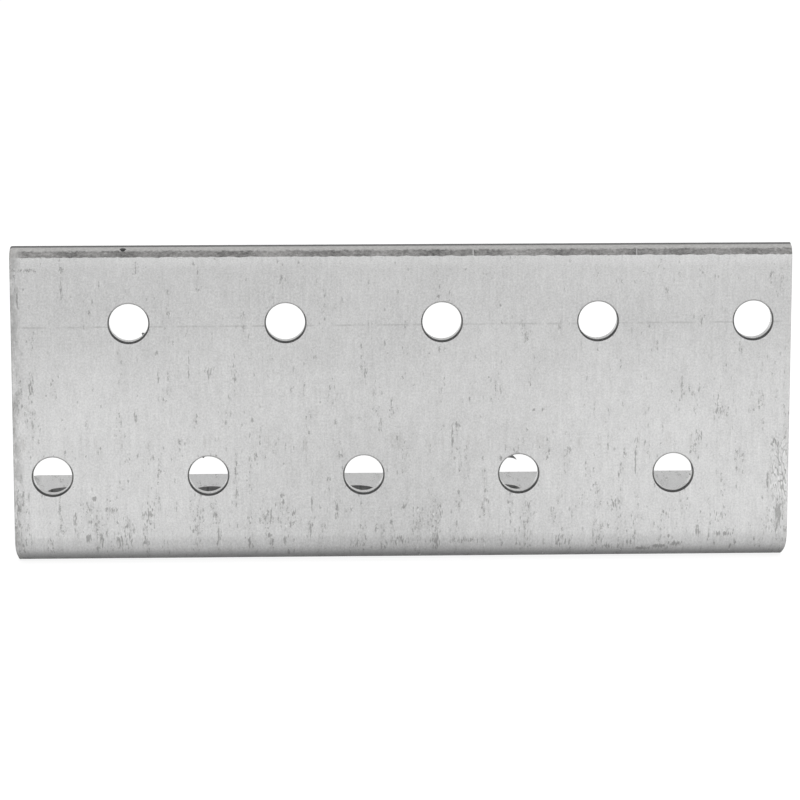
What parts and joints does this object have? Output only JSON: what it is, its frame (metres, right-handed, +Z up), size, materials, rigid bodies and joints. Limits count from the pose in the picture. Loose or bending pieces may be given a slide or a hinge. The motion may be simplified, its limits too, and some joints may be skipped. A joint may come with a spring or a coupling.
{
  "type": "angle bracket",
  "caption": "Equal-leg angle bracket folded from zinc-coated steel sheet, with staggered rows of round screw holes in both legs, for joining timber or boards at a right angle.",
  "frame": {"origin": "middle of the bracket's box, on the underside of the lying flange", "axes": "+X along the fold, +Z up along the upright flange, whose outer face looks to -Y"},
  "size_m": [0.1, 0.0416, 0.0417],
  "materials": {
    "zinc_coated_steel": "dull zinc coating with fine streaks across the length and bare, torn metal on the long cut edges"
  },
  "bodies": {
    "root": {"angle_bracket": "zinc_coated_steel"}
  },
  "joints": []
}
